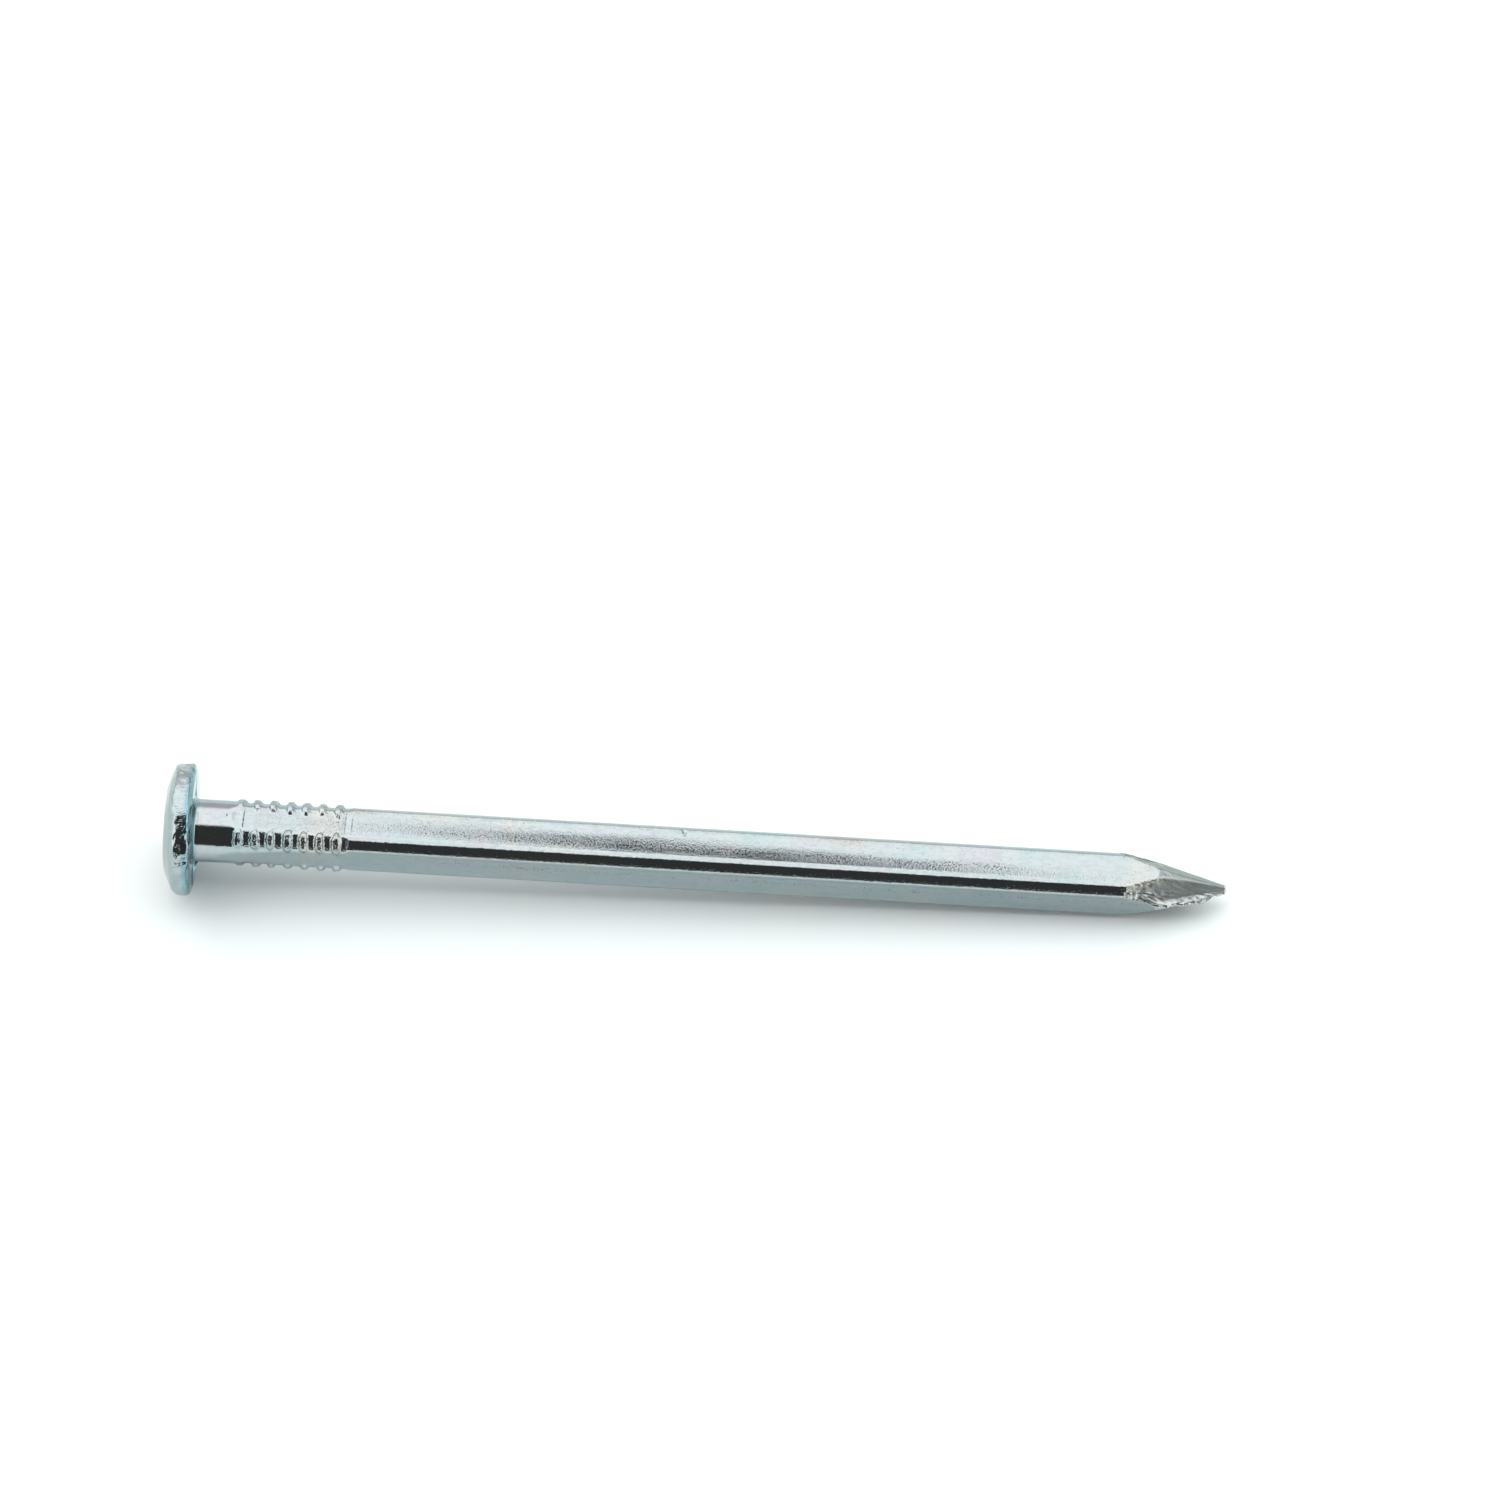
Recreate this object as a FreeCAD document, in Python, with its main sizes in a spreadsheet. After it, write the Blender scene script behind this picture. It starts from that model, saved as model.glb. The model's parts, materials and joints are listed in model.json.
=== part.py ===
import FreeCAD, Part
import math
import os

import Sketcher

# A fluted masonry nail: one piece of hardened steel wire. Its head is upset cold, four flat
# flutes are rolled along the shank, seven rings of beads are raised on the lands between
# the flutes, and the point is pinched to four wide facets with four narrow ones between.
#
# The nail is drawn in its own frame: X runs along its axis from the head to the point, the
# origin is the middle of the head's underside, and the four lands lie along Y and Z. It is
# then laid on the ground as a dropped nail lies: on the rim of its head and on one flute.

X_AXIS = FreeCAD.Vector(1, 0, 0)
Y_AXIS = FreeCAD.Vector(0, 1, 0)
FULL_TURN = 360.0          # degrees
LAND_COUNT = 4
FIN_COUNT = 2
DIAGONAL = 45.0            # degrees from a land to the flute beside it
SAME_PLACE = 1e-6          # lengths closer than this are equal

SIZES = [
    # alias, millimetres (or degrees, or a count), what it is
    ("nominal_length", 75.0, "underside of the head to the end of the point"),
    ("head_radius", 4.85, "rim of the head"),
    ("rim_height", 1.4, "rim of the head, along the axis"),
    ("bevel_rise", 0.75, "bevel between the rim and the crown"),
    ("crown_radius", 3.2, "where the bevel meets the domed crown"),
    ("crown_rise", 0.1, "dome of the crown"),
    ("rim_round", 0.4, "rounding of the rim's two edges"),
    ("neck_radius", 2.28, "plain round neck"),
    ("neck_fillet", 0.3, "fillet between the neck and the underside of the head"),
    ("neck_length", 3.0, "underside of the head to the start of the flutes"),
    ("runout", 0.7, "slope where the flutes begin, and where they deepen"),
    ("grip_radius", 2.19, "lands between the rings of beads"),
    ("grip_flat", 1.95, "axis to a flute, in the ringed part"),
    ("grip_length", 11.05, "underside of the head to the end of the ringed part"),
    ("shank_radius", 2.26, "lands of the shank"),
    ("shank_flat", 1.85, "axis to a flute, on the shank"),
    ("ring_count", 7, "rings of beads"),
    ("ring_first", 3.35, "underside of the head to the first ring"),
    ("ring_pitch", 1.175, "one ring to the next"),
    ("bead_rise", 0.24, "crest of a bead above the land"),
    ("bead_round", 0.36, "radius of a bead's rounded back"),
    ("bead_spread", 37.0, "degrees of the circumference that a bead covers"),
    ("point_length", 7.6, "shoulder of the point to its end"),
    ("point_end", 0.33, "axis to a wide facet, at the blunt end"),
    ("facet_bulge", 0.17, "how far a wide facet bows outwards"),
    ("wedge_length", 4.95, "narrow facets, along the axis"),
    ("wedge_end", 0.43, "axis to a narrow facet, at the blunt end"),
    ("fin_reach", 4.3, "outer end of a fin under the head"),
    ("fin_height", 0.36, "a fin where it meets the neck"),
    ("fin_thickness", 0.16, "a fin, across"),
    ("overcut", 1.0, "how far a cutting outline runs past the steel"),
    ("embed", 0.2, "how far an added shape starts inside the steel"),
]


def make_sheet(doc):
    """Put every driving dimension in a spreadsheet cell with a name of its own."""
    sheet = doc.addObject("Spreadsheet::Sheet", "sizes")
    for row, (alias, value, meaning) in enumerate(SIZES, start=1):
        sheet.set(f"A{row}", alias)
        sheet.set(f"B{row}", str(value))
        sheet.set(f"C{row}", meaning)
        sheet.setAlias(f"B{row}", alias)
    doc.recompute()
    return sheet


def origin_feature(body, role):
    """The body's own origin plane or axis with this role."""
    return next(item for item in body.Origin.OriginFeatures if item.Role == role)


def make_sketch(body, name, plane, turn=0.0):
    """A sketch on one of the body's origin planes, turned about the nail's axis."""
    sketch = body.newObject("Sketcher::SketchObject", name)
    sketch.AttachmentSupport = [(origin_feature(body, plane), "")]
    sketch.MapMode = "FlatFace"
    sketch.AttachmentOffset = FreeCAD.Placement(FreeCAD.Vector(), FreeCAD.Rotation(X_AXIS, turn))
    return sketch


def bind(sketch, constraint, formula):
    """Tie a dimension of the sketch to a formula of the sheet's sizes."""
    sketch.setExpression(f"Constraints[{constraint}]", formula)


def worked_out(sheet, formula):
    """The present value of a formula such as "nominal_length + overcut"."""
    names = {alias: getattr(sheet, alias) for alias, _, _ in SIZES}
    total = 0.0
    sign = 1.0
    for word in formula.split():
        if word in "+-":
            sign = -1.0 if word == "-" else 1.0
        else:
            total += sign * float(names[word])
            sign = 1.0
    return total


def in_sheet(formula):
    """The same formula, with each size named in full for an expression."""
    words = [word if word in "+-" else f"sizes.{word}" for word in formula.split()]
    return " ".join(words)


def outline(sketch, sheet, corners, bulges=()):
    """Draw a closed outline and dimension each corner from the sketch's origin.

    A corner is two formulas, its place along the axis and its distance from it; an empty
    formula puts it on that axis. Each bulge names the side that starts at that corner and
    the size by which it bows outwards.
    """
    points = [
        FreeCAD.Vector(worked_out(sheet, along), worked_out(sheet, out), 0)
        for along, out in corners
    ]
    bulges = dict(bulges)
    count = len(points)
    for index, start in enumerate(points):
        end = points[(index + 1) % count]
        if index in bulges:
            chord = end - start
            outward = FreeCAD.Vector(-chord.y, chord.x, 0).normalize()
            if outward.y < 0:
                outward = outward.negative()
            middle = (start + end) * 0.5 + outward * worked_out(sheet, bulges[index])
            sketch.addGeometry(Part.Arc(start, middle, end))
        else:
            sketch.addGeometry(Part.LineSegment(start, end))
    for index, start in enumerate(points):
        following = (index + 1) % count
        here = vertex_of(sketch, index, start)
        last = vertex_of(sketch, index, points[following])
        first = vertex_of(sketch, following, points[following])
        sketch.addConstraint(Sketcher.Constraint("Coincident", index, last, following, first))
        along, out = corners[index]
        place(sketch, "DistanceX", -2, index, here, along, start.x)
        place(sketch, "DistanceY", -1, index, here, out, start.y)
        if index in bulges:
            chord = math.dist(start, points[following])
            rise = worked_out(sheet, bulges[index])
            radius = sketch.addConstraint(Sketcher.Constraint("Radius", index, arc_radius(chord, rise)))
            long_side = f"({in_sheet(corners[following][0])} - ({in_sheet(along)}))"
            tall_side = f"({in_sheet(corners[following][1])} - ({in_sheet(out)}))"
            size = in_sheet(bulges[index])
            bind(sketch, radius, f"({long_side}^2 + {tall_side}^2) / (8 * {size}) + {size} / 2")


def arc_radius(chord, rise):
    """Radius of the arc that stands this far above a chord of this length."""
    return chord ** 2 / (8 * rise) + rise / 2


def vertex_of(sketch, index, point):
    """Which end of a drawn edge, 1 or 2, lies on a point."""
    return 1 if (sketch.getPoint(index, 1) - point).Length < SAME_PLACE else 2


def place(sketch, kind, axis, index, vertex, formula, value):
    """Dimension one coordinate of a vertex, or put the vertex on the axis."""
    if not formula:
        sketch.addConstraint(Sketcher.Constraint("PointOnObject", index, vertex, axis))
    elif value < 0:
        number = sketch.addConstraint(Sketcher.Constraint(kind, index, vertex, -1, 1, -value))
        bind(sketch, number, f"-({in_sheet(formula)})")
    else:
        number = sketch.addConstraint(Sketcher.Constraint(kind, -1, 1, index, vertex, value))
        bind(sketch, number, in_sheet(formula))


def around_the_axis(body, name, originals, count):
    """Repeat a feature evenly round the nail's axis."""
    pattern = body.newObject("PartDesign::PolarPattern", name)
    pattern.Originals = originals
    pattern.Axis = (origin_feature(body, "X_Axis"), [""])
    pattern.Angle = FULL_TURN
    pattern.Occurrences = count
    body.Tip = pattern
    return pattern


def turned_blank(body, sheet):
    """Head, neck and shank as one turned shape, before the flutes are rolled."""
    sketch = make_sketch(body, "blank_outline", "XZ_Plane")
    outline(sketch, sheet, [
        ("- rim_height - bevel_rise - crown_rise", ""),
        ("- rim_height - bevel_rise", "crown_radius"),
        ("- rim_height", "head_radius"),
        ("", "head_radius"),
        ("", "neck_radius"),
        ("neck_length", "neck_radius"),
        ("neck_length + runout", "grip_radius"),
        ("grip_length", "grip_radius"),
        ("grip_length + runout", "shank_radius"),
        ("nominal_length", "shank_radius"),
        ("nominal_length", ""),
    ])
    blank = body.newObject("PartDesign::Revolution", "blank")
    blank.Profile = sketch
    blank.ReferenceAxis = (sketch, ["H_Axis"])
    blank.Angle = FULL_TURN
    return blank


def round_edges(body, base, name, edge_radius, edge_place, rounding):
    """Round the circular edges of one radius, at one place along the axis or at any."""
    body.Document.recompute()
    edges = [
        f"Edge{number}" for number, edge in enumerate(base.Shape.Edges, start=1)
        if isinstance(edge.Curve, Part.Circle)
        and abs(edge.Curve.Radius - edge_radius) < SAME_PLACE
        and (edge_place is None or abs(edge.Curve.Center.x - edge_place) < SAME_PLACE)
    ]
    fillet = body.newObject("PartDesign::Fillet", name)
    fillet.Base = (base, edges)
    fillet.setExpression("Radius", f"sizes.{rounding}")
    return fillet


def rounded_rim(body, sheet, blank):
    """Round the rim's two edges, where the bevel and the underside meet it."""
    return round_edges(body, blank, "rounded_rim", float(sheet.head_radius), None, "rim_round")


def neck_fillet(body, sheet):
    """Fill the corner between the neck and the underside of the head."""
    return round_edges(body, body.Tip, "neck_fillet", float(sheet.neck_radius), 0.0, "neck_fillet")


def cut_from_side(body, sheet, name, corners, plane_turn, bulges=()):
    """Cut one side of the nail with an outline drawn along its axis, then the other three."""
    sketch = make_sketch(body, f"{name}_outline", "XZ_Plane", plane_turn)
    outline(sketch, sheet, corners, bulges)
    cut = body.newObject("PartDesign::Pocket", name)
    cut.Profile = sketch
    cut.SideType = "Symmetric"
    cut.Type = "ThroughAll"
    return around_the_axis(body, f"{name}_all_round", [cut], LAND_COUNT)


def flutes(body, sheet):
    """Four flat flutes, between the lands, that deepen where the ringed part ends."""
    return cut_from_side(body, sheet, "flute", [
        ("neck_length", "neck_radius"),
        ("neck_length + runout", "grip_flat"),
        ("grip_length", "grip_flat"),
        ("grip_length + runout", "shank_flat"),
        ("nominal_length + overcut", "shank_flat"),
        ("nominal_length + overcut", "head_radius"),
        ("neck_length", "head_radius"),
    ], DIAGONAL)


def facets(body, sheet):
    """Four wide facets, slightly bowed, that cut the lands away to a blunt end."""
    return cut_from_side(body, sheet, "facet", [
        ("nominal_length - point_length", "shank_radius"),
        ("nominal_length", "point_end"),
        ("nominal_length + overcut", "point_end"),
        ("nominal_length + overcut", "head_radius"),
        ("nominal_length - point_length", "head_radius"),
    ], 0.0, bulges=[(0, "facet_bulge")])


def wedges(body, sheet):
    """Four narrow facets, in line with the flutes, between the wide ones."""
    return cut_from_side(body, sheet, "wedge", [
        ("nominal_length - wedge_length", "shank_flat"),
        ("nominal_length", "wedge_end"),
        ("nominal_length + overcut", "wedge_end"),
        ("nominal_length + overcut", "head_radius"),
        ("nominal_length - wedge_length", "head_radius"),
    ], DIAGONAL)


def beads(body, sheet):
    """Rings of rounded beads, each a short arc across one land."""
    sketch = make_sketch(body, "bead_outline", "XZ_Plane")
    centre_out = "grip_radius + bead_rise - bead_round"
    centre = FreeCAD.Vector(float(sheet.ring_first), worked_out(sheet, centre_out), 0)
    sketch.addGeometry(Part.Circle(centre, FreeCAD.Vector(0, 0, 1), float(sheet.bead_round)))
    place(sketch, "DistanceX", -2, 0, 3, "ring_first", centre.x)
    place(sketch, "DistanceY", -1, 0, 3, centre_out, centre.y)
    radius = sketch.addConstraint(Sketcher.Constraint("Radius", 0, float(sheet.bead_round)))
    bind(sketch, radius, "sizes.bead_round")
    bead = body.newObject("PartDesign::Revolution", "bead")
    bead.Profile = sketch
    bead.ReferenceAxis = (sketch, ["H_Axis"])
    bead.Midplane = True
    bead.setExpression("Angle", "sizes.bead_spread")
    body.Document.recompute()
    return repeat_along_and_round(body, bead)


def repeat_along_and_round(body, bead):
    """Repeat the first bead along the ringed part, and that row on every land."""
    everywhere = body.newObject("PartDesign::MultiTransform", "bead_rings")
    along = body.newObject("PartDesign::LinearPattern", "bead_row")
    along.Direction = (origin_feature(body, "X_Axis"), [""])
    along.setExpression("Length", "sizes.ring_pitch * (sizes.ring_count - 1)")
    along.setExpression("Occurrences", "sizes.ring_count")
    around = body.newObject("PartDesign::PolarPattern", "bead_circle")
    around.Axis = (origin_feature(body, "X_Axis"), [""])
    around.Angle = FULL_TURN
    around.Occurrences = LAND_COUNT
    everywhere.Originals = [bead]
    everywhere.Transformations = [along, around]
    body.Tip = everywhere
    return everywhere


def fins(body, sheet):
    """Two thin fins of flash under the head, where the halves of the heading die met."""
    sketch = make_sketch(body, "fin_outline", "XY_Plane")
    outline(sketch, sheet, [
        ("- embed", "neck_radius - embed"),
        ("- embed", "fin_reach"),
        ("", "fin_reach"),
        ("fin_height", "neck_radius - embed"),
    ])
    fin = body.newObject("PartDesign::Pad", "fin")
    fin.Profile = sketch
    fin.SideType = "Symmetric"
    fin.setExpression("Length", "sizes.fin_thickness")
    return around_the_axis(body, "fin_pair", [fin], FIN_COUNT)


def lay_on_ground(body, sheet):
    """Turn a flute down, lower the point until the nail rests on two places, and centre it.

    The rim touches with its rounded lower edge, and the flute touches at the far end of
    its flat, where the narrow facet of the point starts.
    """
    rim_round = float(sheet.rim_round)
    drop = float(sheet.head_radius) - rim_round - float(sheet.shank_flat)
    run = float(sheet.nominal_length) - float(sheet.wedge_length) + rim_round
    tilt = math.atan2(drop, run) + math.asin(rim_round / math.hypot(drop, run))
    turned = FreeCAD.Rotation(Y_AXIS, math.degrees(tilt)) * FreeCAD.Rotation(X_AXIS, DIAGONAL)
    body.Placement = FreeCAD.Placement(FreeCAD.Vector(), turned)
    body.Document.recompute()
    box = body.Shape.optimalBoundingBox(False, False)
    middle = FreeCAD.Vector(-box.Center.x, -box.Center.y, -box.ZMin)
    body.Placement = FreeCAD.Placement(middle, turned)
    body.Document.recompute()
    print("tilt in degrees", round(math.degrees(tilt), 4), "underside at", middle)


def volume_after(body, feature):
    """The body's volume once this feature is its last."""
    body.Tip = feature
    body.Document.recompute()
    return body.Shape.Volume


def make_nail(doc, sheet):
    """Build the nail feature by feature, checking that each one changes the steel."""
    body = doc.addObject("PartDesign::Body", "nail")
    body.Label = "nail"
    blank = turned_blank(body, sheet)
    volume = volume_after(body, blank)
    steps = [
        (lambda: rounded_rim(body, sheet, blank), -1),
        (lambda: neck_fillet(body, sheet), 1),
        (lambda: flutes(body, sheet), -1),
        (lambda: facets(body, sheet), -1),
        (lambda: wedges(body, sheet), -1),
        (lambda: beads(body, sheet), 1),
        (lambda: fins(body, sheet), 1),
    ]
    for make_step, direction in steps:
        feature = make_step()
        changed = volume_after(body, feature)
        print(feature.Label, "changes the volume by", round(changed - volume, 4), "mm3")
        if (changed - volume) * direction <= 0:
            raise RuntimeError(f"{feature.Label} did not change the steel as it should")
        volume = changed
    return body


def check(doc, bodies):
    """Stop if anything in the document failed, or a body isn't one closed solid."""
    for item in doc.Objects:
        if "Invalid" in item.State or "Error" in item.State:
            raise RuntimeError(f"{item.Label} is {item.State}")
    for body in bodies:
        shape = body.Shape
        if shape.isNull() or not shape.isValid() or len(shape.Solids) != 1:
            raise RuntimeError(f"{body.Label} has no single valid solid")


def main():
    doc = FreeCAD.newDocument("fluted_nail")
    sheet = make_sheet(doc)
    nail = make_nail(doc, sheet)
    lay_on_ground(nail, sheet)
    check(doc, [nail])
    os.makedirs("parts", exist_ok=True)
    for body in [nail]:
        body.Shape.exportStep(f"parts/{body.Label}.step")
        print(body.Label, body.Shape.BoundBox, "volume", round(body.Shape.Volume, 2))


main()
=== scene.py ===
import itertools
import json
import math
from types import SimpleNamespace

import bpy
import numpy as np
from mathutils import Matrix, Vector


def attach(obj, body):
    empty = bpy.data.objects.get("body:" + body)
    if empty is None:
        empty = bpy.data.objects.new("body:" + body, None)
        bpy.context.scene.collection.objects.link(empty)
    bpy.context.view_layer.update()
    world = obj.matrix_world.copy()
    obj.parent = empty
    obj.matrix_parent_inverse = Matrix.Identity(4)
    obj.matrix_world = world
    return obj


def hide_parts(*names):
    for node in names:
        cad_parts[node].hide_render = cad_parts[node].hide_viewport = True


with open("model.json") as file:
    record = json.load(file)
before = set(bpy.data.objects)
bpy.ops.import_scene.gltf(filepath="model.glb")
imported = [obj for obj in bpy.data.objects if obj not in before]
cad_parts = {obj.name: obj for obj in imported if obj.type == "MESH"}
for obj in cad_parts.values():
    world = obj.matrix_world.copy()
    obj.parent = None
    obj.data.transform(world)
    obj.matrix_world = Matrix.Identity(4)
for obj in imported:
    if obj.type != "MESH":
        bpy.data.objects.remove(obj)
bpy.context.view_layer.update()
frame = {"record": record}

# ---------------------------------------------------------------------------------------
# Sizes of the nail in millimetres, along its own axis from the underside of the head (0)
# towards the point, and outwards from that axis. Angles go round the axis in degrees: 0
# faces the camera's side (-Y), 90 faces up, 180 the far side and 270 the ground.
# ---------------------------------------------------------------------------------------
MM = 0.001

HEAD_RADIUS = 4.85
HEAD_HEIGHT = 2.13
RIM_HEIGHT = 1.34             # nominal; the upset rim is thicker on one side
RIM_LEAN = 0.16               # how much thicker on that side, and thinner opposite
RIM_LEAN_ANGLE = 146.0
HEAD_TILT = 0.045             # slope of the whole head across the shank
HEAD_TILT_ANGLE = 52.0        # the side that leans towards the point
CROWN_RADIUS = 3.1            # of the nearly flat top, inside its bevel
CROWN_DOME = 0.1              # how far that top's edge lies below its middle
NECK_RADIUS = 2.27
LEDGE_RADIUS = 2.56           # low ledge round the foot of the neck
LEDGE_HEIGHT = 0.07
HEAD_END = 1.0                # where the head's fine mesh hands over to the shaft's
RIM_FROM = (4.25, 4.6)        # distances out over which the crown's dents become lumps
CROWN_FROM = (-1.0, -1.4)     # and places along over which the crown begins
RIM_BARREL = 0.04             # how far the middle of the rim bows out past its edges
LUMP_LEVEL = -0.08            # middle of the rim's lumps, below its nominal surface
LUMP_HEIGHT = 0.15
LUMP_SIZE = 1.1
CHIP_HEIGHT = 0.08            # and finer ones on those
CHIP_SIZE = 0.5
LUMP_SLANT = 0.4              # how far the lumps lean across the rim
LUMP_SQUEEZE = 0.6            # under 1, so they are longer round the rim than across it
DENT_HEIGHT = 0.022           # low dents on the crown, and finer ones in them
DENT_SIZE = 1.9
FINE_DENT_HEIGHT = 0.006
FINE_DENT_SIZE = 0.6
UNDERSIDE_DENT_SIZE = 0.8
CREASE_PLACE = 0.18           # lap between the crown and the upset rim, above the rim's edge
CREASE_WAVE = 0.06
CREASE_DEPTH = 0.05
CREASE_WIDTH = 0.07
CREASE_ANGLE = 118.0          # where it is most open
FINS = ((135.0, 0.25), (315.0, 1.0))  # angle of each fin of flash, and its share of the height
FIN_REACH = 4.3
FIN_TAPER = 0.4
FIN_HEIGHT = 0.42             # at the neck; it falls away to a low line of flash
FIN_FALL = 0.5
FIN_LINE = 0.05
FIN_WIDTH = 0.11
FIN_UNEVEN = 0.25             # how much its height varies, and over what length
FIN_UNEVEN_SIZE = 0.7

LAND_COUNT = 4                # at 45, 135, 225 and 315 degrees
NECK_END = 3.4                # the grip is the ringed part; a flat is a flute's level there
GRIP_START = 3.8
# How each flute, at 0, 90, 180 and 270 degrees, deepens from the neck: places along the
# axis, and the share of its full depth there.
FLUTE_DEPTHS = (
    ((1.5, 0.0), (4.2, 0.56), (7.0, 0.86), (11.5, 1.0)),
    ((2.45, 0.0), (3.15, 0.55), (3.6, 0.8), (6.5, 0.88), (11.0, 0.97)),
    ((1.1, 0.0), (3.2, 0.4), (3.5, 0.8), (7.0, 0.9), (11.0, 1.0)),
    ((1.3, 0.0), (3.9, 0.5), (7.0, 0.9), (11.0, 1.0)),
)
GRIP_END = 10.98
SHANK_START = 11.45
GRIP_RADIUS = 2.19
GRIP_FLAT = 1.95
SHANK_RADIUS = 2.255
SHANK_FLAT = 1.86
FLUTE_HALF_ANGLE = 35.0       # from the middle of a flute to its edge
FLUTE_HOLLOW = 0.045          # how far the middle of a flute lies below its edges
FLUTE_CLEAR = 0.04            # how far above the neck a flute of no depth lies
LAND_EDGE = 0.07              # softness of the edge between land and flute
TWIST_START = -1.0            # degrees; the flutes run very slightly round the shank
TWIST_END = -3.3
ROLLED_STRETCH = 0.12         # rolling leaves marks along the shank: their stretch,
ROLLED_HEIGHT = 0.004         # height and width, and the same of broader ripples
ROLLED_SIZE = 0.9
RIPPLE_HEIGHT = 0.003
RIPPLE_SIZE = 2.5

RING_COUNT = 7
RING_FIRST = 3.37
RING_PITCH = 1.175
BEAD_HALF_LENGTH = 0.39
FIRST_BEAD = 1.2              # how much longer the first ring is than the rest
BEAD_RISE = 0.235
BEAD_HALF_SPANS = (0.76, 0.9, 0.8, 0.76)  # on each land
BEAD_CREST = 0.3              # share of a bead's half length that is its flat crest
BEAD_END = 0.45               # length of each rounded end of a bead
BEAD_END_DROP = 0.3           # how far the end falls
BEAD_LEAN = 0.05              # how far the ends lie nearer the point than the middle
BEAD_END_TAPER = 0.35         # how much shorter, along the shank, its ends are
BEAD_BLEND = 0.02             # softness of the line where it meets the land
# How much the beads differ: their place along the shank, then shares of the half length
# and rise, how far they slew, and a share of the half span.
BEAD_PLACES = (-0.04, 0.04)
BEAD_LENGTHS = (0.94, 1.08)
BEAD_RISES = (0.88, 1.0)
BEAD_SLEWS = (-0.06, 0.06)
BEAD_SPANS = (0.95, 1.08)
RAGGED_SIZE = 0.26            # their ragged outline: its size, then its effect on
RAGGED_END = 0.07             # the ends, the sides and the top
RAGGED_SIDE = 0.18
RAGGED_TOP = 0.035

LENGTH = 74.85
SHOULDER = 67.25
POINT_END = 0.27
FACET_BULGES = (-0.08, -0.03, -0.08, 0.05)  # of the wide facet on each land
FACET_EDGE = 0.03             # softness of the edge between a wide facet and the shank
WEDGE_START = 69.6            # the narrow facets, over the flutes
WEDGE_END = 0.34
WEDGE_SINK = 0.02             # how far below the flute they start
WEDGE_BULGE = 0.05
WEDGE_EDGE = 0.1
END_ROUND = 0.22
TORN_SIZE = 0.34              # torn steel: its size, then its height
TORN_START = 0.03             # where the shear bit,
TORN_FACET = 0.005            # on the rest of the facet,
TORN_LOW_EDGE = 0.05          # on the low side of a narrow facet
TORN_HIGH_EDGE = 0.006        # and on its high side
NICK_PLACE = 35.4             # a small dent in the upper edge of a land
NICK_ANGLE = 120.0
NICK_DEPTH = 0.22
NICK_SIZE = 0.14
BURR_HEIGHT = 0.46            # lumpy lip that the shear left along the lower edges
BURR_WIDTH = 0.34             # over which it rises from the facet to its crest
BURR_DROP = 0.09              # how soon it falls away again past the edge
BURR_CURVE = 1.6              # over 1, the lip is hollow below its crest
BURR_START = (68.45, 70.45)   # places along over which it rises
BURR_FADE = 2.0               # length over which it dies away at the end of the point
BURR_SHARES = (1.0, 0.0, 0.3, 0.0)  # on each land
BURR_LUMP = 0.3               # how much its height varies, and over what length
BURR_LUMP_SIZE = 0.6
SHEAR_ANGLE = 20.0            # of the shear's grain to the axis
SHEAR_STRETCH = 0.16
SHEAR_SIZE = 0.2
SHEAR_HEIGHT = 0.012
MOTTLED_WIDTH = 0.4           # of the mottled border inside a wide facet's high edge

# Bands of dark speckle along a flute: the flute, the band's place across it, half-width,
# start, end and strength. Then spots of brown stain: angle, place along the axis, length.
SPECKLE_BANDS = (
    (90.0, -0.3, 0.33, 14.0, 62.0, 0.85),
    (90.0, 0.0, 0.5, 9.0, 26.0, 0.4),
    (0.0, 0.3, 0.3, 12.0, 72.0, 0.5),
    (180.0, 0.3, 0.3, 20.0, 62.0, 0.7),
    (270.0, -0.2, 0.4, 14.0, 50.0, 0.5),
)
STAINS = (
    (125.0, 11.8, 1.2),
    (122.0, 47.0, 1.4),
    (230.0, 30.0, 1.6),
)
SPECKLE_FADE = 5.0            # length over which a band fades at each end
SPECKLE_RAGGED = 0.3
SPECKLE_WANDER = 0.15
STAIN_WIDTH = 0.35
LAND_MIDDLE = (19.0, 14.0)    # degrees from a land's middle over which its rough grain starts
UNDERSIDE = (-0.5, -0.2)      # places along over which the painted shade under the head begins,
UNDERSIDE_END = (0.5, 0.2)    # and ends
CROWN_FILM_FROM = (-1.3, -1.5)  # the same for the crown's film
LOW_CROWN = (0.5, -1.5)       # heights over which the straw film low on the crown begins

# ---------------------------------------------------------------------------------------
# The nail's own frame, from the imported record's mounts
# ---------------------------------------------------------------------------------------
mounts = {mount["name"]: mount for mount in frame["record"]["mounts"]}
AXIS = Vector(mounts["neck"]["axis"]).normalized()
neck_middle = Vector(mounts["neck"]["pos_m"])
underside_point = Vector(mounts["head_underside"]["pos_m"])
ORIGIN = neck_middle + AXIS * (underside_point - neck_middle).dot(AXIS)
ACROSS = Vector((0.0, 1.0, 0.0))
UP = AXIS.cross(ACROSS)


def to_frame(along, out, angle):
    """Row-frame points in metres, from nail coordinates in millimetres and radians."""
    along, out, angle = np.broadcast_arrays(along, out, angle)
    spread = -np.cos(angle)[..., None] * np.array(ACROSS) + np.sin(angle)[..., None] * np.array(UP)
    return np.array(ORIGIN) + MM * (along[..., None] * np.array(AXIS) + out[..., None] * spread)


def smooth_step(low, high, value):
    """0 below low, 1 above high, and an even curve between."""
    share = np.clip((value - low) / (high - low), 0.0, 1.0)
    return share * share * (3.0 - 2.0 * share)


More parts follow.
